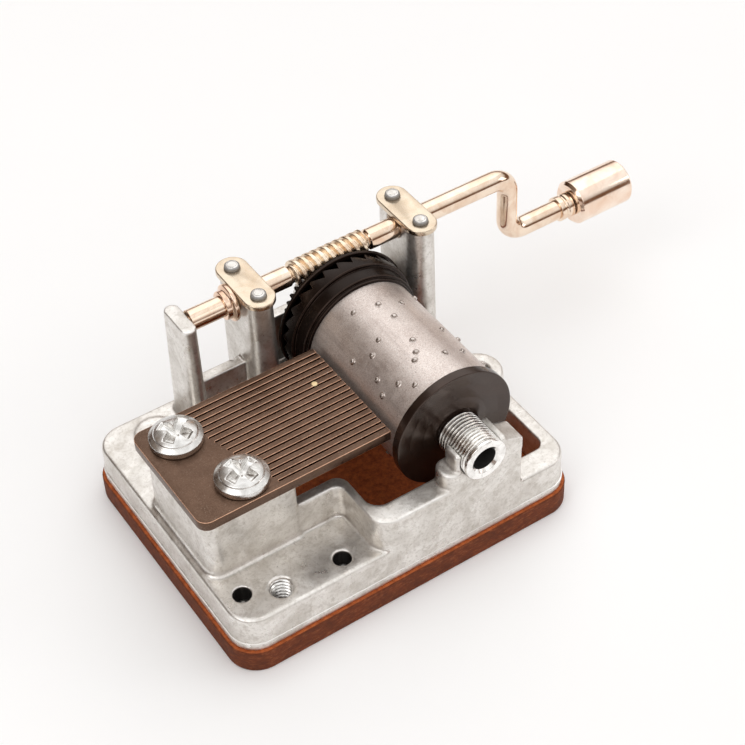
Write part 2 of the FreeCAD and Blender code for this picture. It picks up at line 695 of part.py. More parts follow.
# Straps over the crank, held by the upset studs
for name, x in (("strap_inner", post_inner_x), ("strap_outer", post_outer_x)):
    strap = stadium(x, crank_y, strap_length, strap_width, strap_bottom,
                    strap_bottom + strap_thickness)
    flat_rims = [e for e in strap.Edges if e.BoundBox.ZLength < 1e-6
                 and e.BoundBox.ZMin > strap_bottom + 0.1]
    strap = strap.makeFillet(0.2, flat_rims)
    for side in (-1, 1):
        y = crank_y + side * stud_spacing / 2
        strap = strap.cut(rod_z(stud_radius + push_fit, strap_bottom - 1,
                                strap_bottom + strap_thickness + 1, x, y))
    save(name, strap)
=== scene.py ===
import math
import random

import bmesh
import bpy
import numpy as np
from mathutils import Matrix, Vector


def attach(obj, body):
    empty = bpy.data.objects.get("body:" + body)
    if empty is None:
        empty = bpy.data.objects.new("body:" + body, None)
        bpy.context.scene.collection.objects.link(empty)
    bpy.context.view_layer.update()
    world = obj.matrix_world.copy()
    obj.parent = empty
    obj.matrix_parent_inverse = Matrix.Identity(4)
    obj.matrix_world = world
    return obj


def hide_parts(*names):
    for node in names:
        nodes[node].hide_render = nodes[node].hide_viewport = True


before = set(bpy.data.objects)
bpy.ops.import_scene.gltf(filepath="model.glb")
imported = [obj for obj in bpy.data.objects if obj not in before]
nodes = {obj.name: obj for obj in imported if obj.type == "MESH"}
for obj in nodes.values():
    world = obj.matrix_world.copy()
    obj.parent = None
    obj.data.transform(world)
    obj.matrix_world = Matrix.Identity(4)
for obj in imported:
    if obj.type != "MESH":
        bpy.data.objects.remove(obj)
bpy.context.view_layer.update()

random.seed(18)
MM = 0.001

# ---------------------------------------------------------------- dimensions, millimetres

# board, base and pedestal; corners are x, y and radius
BOARD_TOP = 3.4
BASE_TOP = 8.8
BASE_HALF_X = 24.55
BASE_HALF_Y = 19.25
BASE_CORNER = 3.6
PARTING_Z = 4.62
PEDESTAL = ((-23.4, -10.6, 1.8), (-10.9, -10.6, 0.5), (-10.9, 5.0, 0.5), (-23.4, 5.0, 1.8))
# drum, its pins' tracks, cap and bearing sleeve
DRUM_X = 10.1
AXIS_Z = 17.45
DRUM_R = 8.0
DRUM_WALL = 0.6
DRUM_Y = (-12.2, 7.2)
TRACKS = 18
FIRST_TRACK_Y = -11.85
TRACK_STEP = 0.975
CAP_R = 8.45
CAP_Y = (-13.45, -12.2)
CAP_HUB = 0.25
ARBOR_R = 1.6
SLEEVE_Y = (-20.0, -13.85)
SLEEVE_R = 2.95
SLEEVE_ROOT = 2.66
SLEEVE_PITCH = 0.5
SLEEVE_RIM = 0.55
# crank, posts and straps
CRANK_Y = 14.15
CRANK_Z = 25.77
KNOB_Z = 15.57
ROD_R = 1.42
POSTS_X = (-2.42, 21.98)
POST_WIDTHS = (3.56, 3.96)
POST_DEPTH = 9.75
END_POST = (-11.95, 14.6)
END_POST_SIZE = (6.95, 2.2)
STUD_SPACING = 6.5
STRAP_TOP = 28.0
# mounting hole, comb and its screws, board holes
MOUNT_HOLE = (-17.15, -16.1)
TAP_ROOT = 1.50
TAP_CREST = 1.22
TAP_OUTER = 1.54
TAP_PITCH = 0.6
TAP_DROP = 0.30
COMB_TOP = 20.6
COMB_Y = (-11.4, 5.2)
SLIT_START = -18.7
SPECK = (-1.4, 0.3)
PAN_SPOTS = ((-20.0, 1.9, 35), (-16.8, -8.2, 20))  # x, y and turn in degrees
PAN_R = 3.35
PAN_H = 2.1
PAN_EDGE = 0.16
SHANK_R = 1.47
SHANK_HOLE_R = 1.55
SHANK_LENGTH = 7.0
BOARD_HOLES = ((-21.6, -14.3), (-8.8, -16.5), (-17.15, 15.0))
BOARD_HOLE_R = 1.18
# worm, arm, collar and knob
WORM_TEETH = 38
WORM_STARTS = 2
WORM_PITCH_R = 6.88
WORM_LENGTH = 11.6
WORM_CENTRE = 10.2
WORM_ROOT = 1.16
WORM_CREST = 1.72
END_FACE = END_POST[0] + 2.1 / 2
ARM_X = 38.4
BEND = 2.65
GRIP_END = 6.2
FERRULE_R = 1.78
COLLAR_R = 2.5
KNOB_X = 49.35
KNOB_LENGTH = 9.1
KNOB_R = 3.16
# track and angle from the top, in degrees, of the pins that the photo shows
PIN_SPOTS = ((16, -21), (15, 1), (14, 22), (16, 51), (10, -22), (7, 0), (9, -36), (5, -6),
             (4, -12), (3, 15), (11, -53), (6, -48), (3, -37), (1, -27), (4, -55), (8, 39),
             (7, 58), (3, 36), (12, 4), (2, 62))

# ---------------------------------------------------------------- the camera, fitted to the photo

IMAGE_PX = 745
FOCAL_PX = 1824.553
SENSOR = 36.0
EYE = (-79.1039758, -138.9961581, 179.8847245)
BACK = (-0.3739355, -0.6041879, 0.7036542)
RIGHT = (0.8325858, -0.5529514, -0.0323357)
UP = (0.4086235, 0.5737610, 0.7098064)

# ---------------------------------------------------------------- the studio

AIM = (0, 0, 0.012)  # where every lamp points, metres
# name, place in metres, size in metres, power in watts
LAMPS = (("key", (0.20, 0.31, 0.42), 0.70, 0.75), ("front", (0.02, -0.42, 0.26), 0.35, 0.14),
         ("right", (0.42, -0.24, 0.22), 0.20, 0.22), ("left", (-0.30, -0.05, 0.34), 0.25, 0.30))
FLOOR_REACH = 3.0
FLOOR_Z = -2e-5
FLOOR_FADE = (170.0, 420.0)  # the floor turns plain white between these reaches, millimetres
# height of a direction (0 level, 1 straight up) and the sky's colour there
SKY = ((0.0, (1.13, 1.13, 1.13)), (0.05, (1.05, 1.05, 1.05)), (0.09, (0.21, 0.115, 0.072)),
       (0.32, (0.19, 0.105, 0.066)), (0.42, (0.70, 0.67, 0.64)), (0.60, (1.10, 1.09, 1.08)),
       (0.90, (1.3, 1.3, 1.3)))
SKY_STRENGTH = 0.87
DARK_SIDE = (-0.70, 0.60, 0.39)  # direction of a darker patch of sky, behind the posts
DARK_STOPS = ((0.62, (1, 1, 1)), (0.92, (0.22, 0.17, 0.135)))


# ---------------------------------------------------------------- shader helpers

def fill_ramp(ramp, stops):
    """Stops are (position, grey or colour)."""
    while len(ramp.elements) < len(stops):
        ramp.elements.new(0.5)
    for item, (at, value) in zip(ramp.elements, stops):
        item.position = at
        colour = value if isinstance(value, tuple) else (value, value, value)
        item.color = (*colour, 1.0)


def scaled(tone, colour):
    return tuple(tone * v for v in colour)


class Shader:
    """A Principled material whose textures are laid out in the object's own millimetres."""

    def __init__(self, name, **values):
        self.mat = bpy.data.materials.new(name)
        self.mat.use_nodes = True
        self.tree = self.mat.node_tree
        self.tree.nodes.clear()
        self.out = self.tree.nodes.new("ShaderNodeOutputMaterial")
        self.bsdf = self.tree.nodes.new("ShaderNodeBsdfPrincipled")
        self.tree.links.new(self.bsdf.outputs[0], self.out.inputs[0])
        for key, value in values.items():
            socket = self.bsdf.inputs[key.replace("_", " ")]
            socket.default_value = (*value, 1.0) if isinstance(value, tuple) else value
        self.coord = self.tree.nodes.new("ShaderNodeTexCoord").outputs["Object"]

    def node(self, kind, inputs=None, **props):
        made = self.tree.nodes.new(kind)
        for key, value in props.items():
            setattr(made, key, value)
        for key, value in (inputs or {}).items():
            if isinstance(value, bpy.types.NodeSocket):
                self.tree.links.new(value, made.inputs[key])
            else:
                made.inputs[key].default_value = value
        return made

    def place(self, stretch=(1, 1, 1), turn=(0, 0, 0), shift=(0, 0, 0)):
        scale = tuple(1000.0 * s for s in stretch)
        return self.node("ShaderNodeMapping", {"Vector": self.coord, "Scale": scale,
                                               "Rotation": turn, "Location": shift}).outputs[0]

    def noise(self, size, detail=4.0, rough=0.55, warp=0.0, stretch=(1, 1, 1), turn=(0, 0, 0),
              shift=(0, 0, 0)):
        where = self.place(stretch, turn, shift)
        return self.node("ShaderNodeTexNoise", {"Vector": where, "Scale": 1.0 / size,
                                                "Detail": detail, "Roughness": rough,
                                                "Distortion": warp}).outputs["Fac"]

    def around(self, x, y, inner, outer):
        """1 within inner mm of an upright line, 0 beyond outer."""
        flat = self.node("ShaderNodeMapping", {"Vector": self.coord, "Location": (-x, -y, 0),
                                               "Scale": (1000, 1000, 0)}).outputs[0]
        reach = self.node("ShaderNodeVectorMath", {0: flat}, operation="LENGTH")
        return self.node("ShaderNodeMapRange", {"Value": reach.outputs["Value"],
                                                "From Min": inner, "From Max": outer,
                                                "To Min": 1.0, "To Max": 0.0}).outputs[0]

    def ramp(self, fac, *stops):
        made = self.node("ShaderNodeValToRGB", {"Fac": fac})
        fill_ramp(made.color_ramp, stops)
        return made.outputs["Color"]

    def mix(self, fac, base, over):
        """fac and base are sockets; over, a colour or a socket, covers base where fac is 1."""
        inputs = {0: fac, 6: base, 7: (*over, 1.0) if isinstance(over, tuple) else over}
        return self.node("ShaderNodeMix", inputs, data_type="RGBA").outputs[2]

    def math(self, op, a, b):
        return self.node("ShaderNodeMath", {0: a, 1: b}, operation=op).outputs[0]

    def colour(self, socket):
        self.tree.links.new(socket, self.bsdf.inputs["Base Color"])

    def rough(self, socket):
        self.tree.links.new(socket, self.bsdf.inputs["Roughness"])

    def bump(self, *layers):
        """Each layer is (height socket, depth in millimetres)."""
        normal = None
        for height, depth in layers:
            inputs = {"Height": height, "Distance": depth * MM, "Strength": 1.0}
            if normal is not None:
                inputs["Normal"] = normal
            normal = self.node("ShaderNodeBump", inputs).outputs[0]
        self.tree.links.new(normal, self.bsdf.inputs["Normal"])

    def edge(self, low, high):
        """0 on flats, 1 on outer edges."""
        point = self.node("ShaderNodeNewGeometry").outputs["Pointiness"]
        return self.ramp(point, (low, 0.0), (high, 1.0))


def zinc_casting():
    s = Shader("zinc_casting", Metallic=0.88)
    cloud = s.noise(5.5, detail=6, warp=1.2)
    base = s.ramp(cloud, (0.30, (0.62, 0.585, 0.54)), (0.52, (0.78, 0.75, 0.71)),
                  (0.72, (0.90, 0.875, 0.84)))
    stain = s.noise(1.3, detail=7, rough=0.68, warp=0.5, shift=(7, 2, 5))
    base = s.mix(s.ramp(stain, (0.49, 0.0), (0.70, 0.6)), base, (0.46, 0.415, 0.36))
    mottle = s.noise(0.42, detail=5, rough=0.7, shift=(3, 3, 1))
    base = s.mix(s.ramp(mottle, (0.50, 0.0), (0.66, 0.5)), base, (0.46, 0.42, 0.37))
    speck = s.noise(0.17, detail=2, shift=(9, 3, 1))
    base = s.mix(s.ramp(speck, (0.68, 0.0), (0.75, 0.7)), base, (0.27, 0.25, 0.23))
    base = s.mix(s.edge(0.515, 0.57), base, (0.90, 0.885, 0.86))
    # painted shade: hollows and inner corners, where pointiness is low, are coloured darker
    cavity_shade = s.node("ShaderNodeNewGeometry").outputs["Pointiness"]
    base = s.mix(s.ramp(cavity_shade, (0.43, 0.7), (0.49, 0.0)), base, (0.30, 0.275, 0.25))
    # painted shade: a near-black disc round each board hole stands for the dark inside of the
    # hole
    for x, y in BOARD_HOLES:
        hole = s.around(x, y, BOARD_HOLE_R - 0.06, BOARD_HOLE_R + 0.06)
        base = s.mix(hole, base, (0.035, 0.030, 0.027))
    s.colour(base)
    s.rough(s.ramp(s.noise(1.8, detail=6, shift=(1, 9, 4)), (0.3, 0.25), (0.7, 0.46)))
    scratch = s.noise(0.5, detail=2, stretch=(0.06, 1.0, 1.0), turn=(0, 0, 0.5))
    s.bump((s.noise(1.5, detail=4, warp=0.8), 0.022), (mottle, 0.020), (scratch, 0.006))
    return s.mat


def browned_steel(name, tone, wear_and_highlight):
    """tone brightens the brown; worn adds bright copper-brown rubbing."""
    s = Shader(name, Metallic=0.82)
    streak = s.noise(0.16, detail=4, rough=0.7)
    cloud = s.noise(3.4, detail=3)
    base = s.ramp(cloud, (0.30, scaled(tone, (0.128, 0.070, 0.044))),
                  (0.70, scaled(tone, (0.185, 0.106, 0.069))))
    base = s.mix(s.ramp(streak, (0.45, 0.0), (0.75, wear_and_highlight)), base,
                 scaled(tone, (0.31, 0.20, 0.14)))
    speck = s.noise(0.14, detail=3, shift=(4, 4, 2))
    bright = tuple(min(1.0, v) for v in scaled(tone, (0.50, 0.40, 0.31)))
    base = s.mix(s.ramp(speck, (0.66, 0.0), (0.74, 0.8)), base, bright)
    s.colour(base)
    s.rough(s.ramp(s.noise(0.8, detail=5), (0.3, 0.24), (0.7, 0.40)))
    s.bump((streak, 0.012))
    return s.mat


def drum_steel():
    s = Shader("drum_steel", Metallic=0.85)
    cloud = s.noise(5.0, detail=5, warp=0.7)
    base = s.ramp(cloud, (0.32, (0.54, 0.445, 0.40)), (0.68, (0.72, 0.63, 0.58)))
    grain = s.noise(0.16, detail=4, rough=0.75, shift=(2, 7, 1))
    base = s.mix(s.ramp(grain, (0.42, 0.0), (0.62, 0.75)), base, (0.84, 0.785, 0.75))
    pit = s.noise(0.13, detail=3, rough=0.7, shift=(8, 1, 6))
    base = s.mix(s.ramp(pit, (0.54, 0.0), (0.68, 0.8)), base, (0.27, 0.215, 0.19))
    rub = s.noise(0.8, detail=4, stretch=(1, 0.08, 1))
    base = s.mix(s.ramp(rub, (0.52, 0.0), (0.78, 0.4)), base, (0.34, 0.27, 0.24))
    s.colour(base)
    s.rough(s.ramp(s.noise(1.1, detail=5), (0.3, 0.33), (0.7, 0.46)))
    s.bump((grain, 0.014), (s.noise(2.5, detail=3), 0.02))
    return s.mat


def pin_steel():
    s = Shader("pin_steel", Metallic=0.95)
    s.colour(s.ramp(s.noise(0.3), (0.3, (0.33, 0.28, 0.25)), (0.7, (0.66, 0.60, 0.56))))
    s.rough(s.ramp(s.noise(0.2), (0.3, 0.14), (0.7, 0.26)))
    s.bump((s.noise(0.12), 0.004))
    return s.mat


def dark_plastic(name, shine, light, gleam):
    """shine is the least roughness; light brightens the brown; gleam is the gloss's strength."""
    s = Shader(name, Specular_IOR_Level=gleam, Specular_Tint=(1.0, 0.78, 0.68))
    cloud = s.noise(2.5, detail=5, warp=0.5)
    base = s.ramp(cloud, (0.3, scaled(light, (0.0075, 0.0040, 0.0030))),
                  (0.7, scaled(light, (0.019, 0.0115, 0.0085))))
    dust = s.noise(0.35, detail=5, rough=0.7)
    base = s.mix(s.ramp(dust, (0.58, 0.0), (0.80, 0.3)), base,
                 scaled(light, (0.034, 0.021, 0.015)))
    s.colour(base)
    s.rough(s.ramp(s.noise(1.2, detail=5), (0.3, shine), (0.7, shine + 0.13)))
    s.bump((s.noise(0.5, detail=4), 0.010))
    return s.mat


def copper_plate(name, light, deep, shine):
    s = Shader(name, Metallic=1.0)
    cloud = s.noise(2.6, detail=5, warp=0.6)
    base = s.ramp(cloud, (0.30, deep), (0.60, light))
    rub = s.noise(0.3, detail=4, rough=0.7)
    base = s.mix(s.ramp(rub, (0.56, 0.0), (0.74, 0.35)), base, deep)
    s.colour(base)
    s.rough(s.ramp(s.noise(0.9, detail=5), (0.3, shine), (0.7, shine + 0.12)))
    s.bump((rub, 0.003))
    return s.mat


def bright_nickel(name, shine, depth, tone):
    s = Shader(name, Metallic=1.0)
    cloud = s.noise(1.3, detail=5, warp=0.9)
    s.colour(s.ramp(cloud, (0.30, scaled(tone, (0.70, 0.68, 0.65))),
                    (0.60, scaled(tone, (1.0, 0.985, 0.96)))))
    s.rough(s.ramp(s.noise(0.5, detail=5), (0.3, shine), (0.7, shine + 0.14)))
    s.bump((s.noise(0.6, detail=4, warp=0.5), depth))
    return s.mat


def dull_steel(name, tone, gloss=0.38):
    s = Shader(name, Metallic=0.7)
    cloud = s.noise(0.8, detail=5)
    s.colour(s.ramp(cloud, (0.3, scaled(tone, (0.75, 0.72, 0.69))),
                    (0.7, scaled(tone, (1.0, 0.97, 0.94)))))
    s.rough(s.ramp(s.noise(0.4, detail=4), (0.3, gloss), (0.7, gloss + 0.2)))
    s.bump((s.noise(0.25, detail=4), 0.02))
    return s.mat


def hardboard(name, tone):
    """tone brightens the brown; the top face is redder and brighter than the sawn edge."""
    s = Shader(name, Specular_IOR_Level=0.18)
    fibre = s.noise(0.32, detail=6, rough=0.72, stretch=(0.4, 0.4, 1.5))
    patch = s.noise(1.6, detail=6, rough=0.65, warp=0.8)
    base = s.ramp(fibre, (0.32, scaled(tone, (0.085, 0.022, 0.009))),
                  (0.52, scaled(tone, (0.185, 0.045, 0.016))),
                  (0.74, scaled(tone, (0.34, 0.125, 0.058))))
    base = s.mix(s.ramp(patch, (0.38, 0.6), (0.60, 0.0)), base,
                 scaled(tone, (0.080, 0.024, 0.011)))
    height = s.node("ShaderNodeSeparateXYZ", {"Vector": s.coord}).outputs["Z"]
    top = s.node("ShaderNodeMapRange", {"Value": height, "From Min": (BOARD_TOP - 0.06) * MM,
                                        "From Max": (BOARD_TOP - 0.01) * MM}).outputs[0]
    base = s.mix(top, base, s.ramp(fibre, (0.32, (0.24, 0.050, 0.013)),
                                   (0.70, (0.62, 0.165, 0.050))))
    s.colour(base)
    s.rough(s.ramp(fibre, (0.3, 0.62), (0.7, 0.86)))
    s.bump((fibre, 0.05), (s.noise(0.12, detail=3), 0.02))
    return s.mat


# ---------------------------------------------------------------- camera, floor and light

def camera():
    data = bpy.data.cameras.new("camera")
    data.sensor_fit = "HORIZONTAL"
    data.sensor_width = SENSOR
    data.lens = FOCAL_PX / IMAGE_PX * SENSOR
    data.clip_start = 0.01
    data.clip_end = 20.0
    eye = Vector(EYE) * MM
    cam = bpy.data.objects.new("camera", data)
    cam.matrix_world = Matrix((*zip(RIGHT, UP, BACK, eye), (0, 0, 0, 1)))
    bpy.context.scene.collection.objects.link(cam)
    bpy.context.scene.camera = cam
    bpy.context.scene.view_settings.view_transform = "Standard"


def area_light(name, place, size, power):
    data = bpy.data.lights.new(name, "AREA")
    data.shape = "SQUARE"
    data.size = size
    data.energy = power
    lamp = bpy.data.objects.new(name, data)
    lamp.location = place
    lamp.rotation_euler = (Vector(AIM) - Vector(place)).to_track_quat("-Z", "Y").to_euler()
    bpy.context.scene.collection.objects.link(lamp)


def sky():
    """Pale overhead and at the very horizon, with a warm dark band between for the metal."""
    world = bpy.data.worlds.new("studio")
    bpy.context.scene.world = world
    world.use_nodes = True
    tree = world.node_tree
    background = tree.nodes["Background"]
    direction = tree.nodes.new("ShaderNodeTexCoord").outputs["Generated"]
    split = tree.nodes.new("ShaderNodeSeparateXYZ")
    ramp = tree.nodes.new("ShaderNodeValToRGB")
    fill_ramp(ramp.color_ramp, SKY)
    tree.links.new(direction, split.inputs[0])
    tree.links.new(split.outputs["Z"], ramp.inputs["Fac"])
    near = tree.nodes.new("ShaderNodeVectorMath")
    near.operation = "DOT_PRODUCT"
    near.inputs[1].default_value = DARK_SIDE
    shade = tree.nodes.new("ShaderNodeValToRGB")
    fill_ramp(shade.color_ramp, DARK_STOPS)
    tree.links.new(direction, near.inputs[0])
    tree.links.new(near.outputs["Value"], shade.inputs["Fac"])
    both = tree.nodes.new("ShaderNodeMix")
    both.data_type = "RGBA"
    both.blend_type = "MULTIPLY"
    both.inputs[0].default_value = 1.0
    tree.links.new(ramp.outputs["Color"], both.inputs[6])
    tree.links.new(shade.outputs["Color"], both.inputs[7])
    tree.links.new(both.outputs[2], background.inputs["Color"])
    background.inputs["Strength"].default_value = SKY_STRENGTH


def white_far_floor(s):
    """Far from the object the floor is a plain white backdrop to the eye and in reflections."""
    paths = s.node("ShaderNodeLightPath").outputs
    seen = s.math("MAXIMUM", paths["Is Camera Ray"], paths["Is Glossy Ray"])
    seen = s.math("MAXIMUM", seen, paths["Is Transmission Ray"])
    far = s.math("SUBTRACT", 1.0, s.around(0, 0, *FLOOR_FADE))
    white = s.node("ShaderNodeEmission", {"Strength": 0.98}).outputs[0]
    blend = s.node("ShaderNodeMixShader", {0: s.math("MULTIPLY", seen, far),
                                           1: s.bsdf.outputs[0], 2: white})
    s.tree.links.new(blend.outputs[0], s.out.inputs[0])


def floor():
    mesh = bpy.data.meshes.new("floor")
    r = FLOOR_REACH
    mesh.from_pydata([(x, y, FLOOR_Z) for x, y in ((-r, -r), (r, -r), (r, r), (-r, r))], [],
                     [(0, 1, 2, 3)])
    plane = bpy.data.objects.new("floor", mesh)
    bpy.context.scene.collection.objects.link(plane)
    s = Shader("floor", Roughness=0.8, Specular_IOR_Level=0.1)
    s.colour(s.ramp(s.noise(60.0), (0.3, 0.95), (0.7, 0.965)))
    white_far_floor(s)
    mesh.materials.append(s.mat)


# ---------------------------------------------------------------- mesh helpers, millimetres

def finished(name, mesh, body, mat, stands_for=(), sharp=35, wear_and_highlight=()):
    """Scales a mesh from millimetres, gives it its materials and lets it ride on a body.

    stands_for names the CAD nodes it replaces; edges sharper than sharp degrees stay crisp.
    """
    mesh.transform(Matrix.Scale(MM, 4))
    mesh.polygons.foreach_set("use_smooth", [True] * len(mesh.polygons))
    if sharp:
        mesh.set_sharp_from_angle(angle=math.radians(sharp))
    mesh.materials.append(mat)
    for extra in wear_and_highlight:
        mesh.materials.append(extra)
    mesh.update()
    piece = bpy.data.objects.new(name, mesh)
    bpy.context.scene.collection.objects.link(piece)
    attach(piece, body)
    if stands_for:
        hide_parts(*stands_for)


def mesh_from(bm, name):
    bmesh.ops.remove_doubles(bm, verts=bm.verts, dist=1e-4)
    bmesh.ops.recalc_face_normals(bm, faces=bm.faces)
    mesh = bpy.data.meshes.new(name)
    bm.to_mesh(mesh)
    bm.free()
    return mesh


def rounded(points, radius, steps=4, closed=False):
    """A 2-D outline whose corners are turned into arcs; radius may be one number or a list."""
    out = []
    count = len(points)
    for i, (a, r) in enumerate(points):
        size = radius[i] if isinstance(radius, (list, tuple)) else radius
        if size <= 0 or (not closed and i in (0, count - 1)):
            out.append((a, r))
            continue
        here = Vector((a, r))
        before = Vector(points[i - 1]) - here
        after = Vector(points[(i + 1) % count]) - here
        angle = before.angle(after)
        if angle > math.pi - 0.02:
            out.append((a, r))
            continue
        reach = min(size / math.tan(angle / 2), before.length * 0.45, after.length * 0.45)
        p0 = here + before.normalized() * reach
        p2 = here + after.normalized() * reach
        for k in range(steps + 1):
            t = k / steps
            spot = p0 * (1 - t) ** 2 + here * 2 * t * (1 - t) + p2 * t ** 2
            out.append((spot.x, spot.y))
    return out


def lathe(bm, profile, origin, axis, segments=96, closed=False):
    """Turns (distance along axis, radius) points round the axis through origin."""
    origin = Vector(origin)
    axis = Vector(axis).normalized()
    side = axis.orthogonal().normalized()
    other = axis.cross(side)
    rings = []
    for a, r in profile:
        if r < 1e-6:
            rings.append([bm.verts.new(origin + axis * a)])
            continue
        ring = []
        for k in range(segments):
            t = 2 * math.pi * k / segments
            ring.append(bm.verts.new(origin + axis * a
                                     + (side * math.cos(t) + other * math.sin(t)) * r))
        rings.append(ring)
    pairs = list(zip(rings, rings[1:]))
    if closed:
        pairs.append((rings[-1], rings[0]))
    for low, high in pairs:
        for k in range(segments):
            n = (k + 1) % segments
            corners = [low[k % len(low)], low[n % len(low)], high[n % len(high)],
                       high[k % len(high)]]
            unique = []
            for v in corners:
                if v not in unique:
                    unique.append(v)
            if len(unique) > 2:
                bm.faces.new(unique)


def turned(name, parts, body, mat, stands_for=(), segments=96):
    """One piece from several lathe profiles: (profile, origin, axis, closed)."""
    bm = bmesh.new()
    for profile, origin, axis, closed in parts:
        lathe(bm, profile, origin, axis, segments, closed)
    finished(name, mesh_from(bm, name), body, mat, stands_for)


def ridge_height(turns, root_share, crest_share):
    """Trapezoid thread profile: 0 in the root, 1 on the crest, for a position in turns."""
    off = abs((turns % 1.0) - 0.5) * 2
    return min(1.0, max(0.0, (root_share - off) / (root_share - crest_share)))


def band(bm, low, high, inward=False):
    """Quads between two closed rings with the same number of points."""
    count = len(low)
    for k in range(count):
        n = (k + 1) % count
        quad = [low[k], low[n], high[n], high[k]]
        bm.faces.new(quad[::-1] if inward else quad)


def thread_grid(bm, origin, axis, side, length, root, crest, lead, starts=1, root_share=0.9,
                crest_share=0.3, fade=0.3, segments=96, rows=10, inward=False):
    """Surface of a right-handed thread along axis, from origin; the ends fade to the root."""
    origin = Vector(origin)
    axis = Vector(axis).normalized()
    side = Vector(side).normalized()
    other = axis.cross(side)
    count = int(length / (lead / starts) * rows) + 1
    rings = []
    for i in range(count + 1):
        a = length * i / count
        ease = min(1.0, a / fade, (length - a) / fade)
        ring = []
        for k in range(segments):
            t = 2 * math.pi * k / segments
            turns = (a / lead - t / (2 * math.pi)) * starts + 0.5
            r = root + (crest - root) * ease * ridge_height(turns, root_share, crest_share)
            ring.append(bm.verts.new(origin + axis * a
                                     + (side * math.cos(t) + other * math.sin(t)) * r))
        rings.append(ring)
    for low, high in zip(rings, rings[1:]):
        band(bm, low, high, inward)


def millimetre_copy(node):
    mesh = nodes[node].data.copy()
    mesh.transform(Matrix.Scale(1 / MM, 4))
    return mesh


def softened(name, node, body, mat, width, angle=32, sharp=40, wear_and_highlight=(), inside=None):
    """The CAD node with its flat faces joined and its edges bevelled.

    The extra materials go to the bevels, lighter as rubbed wear and painted highlight, and, if
    inside is given, to the faces it picks.
    """
    bm = bmesh.new()
    bm.from_mesh(millimetre_copy(node))
    for face in bm.faces:
        face.material_index = 0
    bmesh.ops.remove_doubles(bm, verts=bm.verts, dist=2e-4)
    bmesh.ops.dissolve_limit(bm, angle_limit=math.radians(0.6), verts=bm.verts, edges=bm.edges)
    hard = [e for e in bm.edges
            if len(e.link_faces) == 2 and e.calc_face_angle(0) > math.radians(angle)]
    cut = bmesh.ops.bevel(bm, geom=hard, offset=width, segments=2, profile=0.6,
                          affect="EDGES", clamp_overlap=False)
    for face in cut["faces"]:
        face.material_index = 1 if wear_and_highlight else 0
    for face in bm.faces:
        if inside and face.material_index == 0 and inside(face.calc_center_median(),
                                                          face.normal):
            face.material_index = 2
    mesh = mesh_from(bm, name)
    finished(name, mesh, body, mat, (node,), sharp, wear_and_highlight)


def remeshed(mesh, voxel, passes, pull=0.6):
    """Voxel remesh of a millimetre mesh, each pass pulling points towards their neighbours."""
    holder = bpy.data.objects.new("holder", mesh)
    bpy.context.scene.collection.objects.link(holder)
    skin = holder.modifiers.new("skin", "REMESH")
    skin.mode = "VOXEL"
    skin.voxel_size = voxel
    graph = bpy.context.evaluated_depsgraph_get()
    made = bpy.data.meshes.new_from_object(holder.evaluated_get(graph))
    count = len(made.vertices)
    spots = np.empty(count * 3, np.float32)
    made.vertices.foreach_get("co", spots)
    spots = spots.reshape(-1, 3)
    edges = np.empty(len(made.edges) * 2, np.int32)
    made.edges.foreach_get("vertices", edges)
    edges = edges.reshape(-1, 2)
    degree = np.bincount(edges.ravel(), minlength=count).astype(np.float32)[:, None]
    for _ in range(passes):
        total = np.zeros_like(spots)
        for axis in range(3):
            total[:, axis] = (np.bincount(edges[:, 0], spots[edges[:, 1], axis], count)
                              + np.bincount(edges[:, 1], spots[edges[:, 0], axis], count))
        spots = spots * (1 - pull) + total / degree * pull
    made.vertices.foreach_set("co", spots.ravel())
    made.update()
    bpy.data.objects.remove(holder)
    return made


# ---------------------------------------------------------------- the casting

def stadium_ring(x, y, length, width, count=12):
    """Outline of an upright post with round ends, listed counter-clockwise."""
    half = width / 2
    ring = []
    for side in (1, -1):
        for k in range(count + 1):
            t = math.pi * k / count + (0 if side > 0 else math.pi)
            ring.append((x + half * math.cos(t),
                         y + side * (length / 2 - half) + half * math.sin(t)))
    return ring


def corner_ring(corners, count=8):
    """Outline through (x, y, radius) corners, listed counter-clockwise."""
    ring = []
    size = len(corners)
    for i, (x, y, r) in enumerate(corners):
        here = Vector((x, y))
        before = (Vector(corners[i - 1][:2]) - here).normalized()
        after = (Vector(corners[(i + 1) % size][:2]) - here).normalized()
        half = before.angle(after) / 2
        reach = r / math.tan(half)
        centre = here + (before + after).normalized() * (r / math.sin(half))
        start = here + before * reach - centre
        end = here + after * reach - centre
        for k in range(count + 1):
            spot = (start * (1 - k / count) + end * (k / count)).normalized() * r + centre
            ring.append((spot.x, spot.y))
    return ring


def foot_fillet(bm, ring, z, radius, steps=6, deep=0.5):
    """A closed skirt with a hollow-round outer face where a wall meets a floor."""
    count = len(ring)
    normals = []
    for i in range(count):
        ahead = Vector(ring[(i + 1) % count]) - Vector(ring[i - 1])
        ahead.normalize()
        normals.append(Vector((ahead.y, -ahead.x)))
    layers = [(-deep, z - deep), (radius, z - deep), (radius, z - 0.02)]
    for k in range(steps + 1):
        t = math.pi / 2 * k / steps
        layers.append((radius * (1 - math.sin(t)), z + radius * (1 - math.cos(t))))
    layers.append((-deep, z + radius))
    loops = []
    for out, height in layers:
        loops.append([bm.verts.new((x + n.x * out, y + n.y * out, height))
                      for (x, y), n in zip(ring, normals)])
    for low, high in zip(loops, loops[1:] + loops[:1]):
        band(bm, low, high)


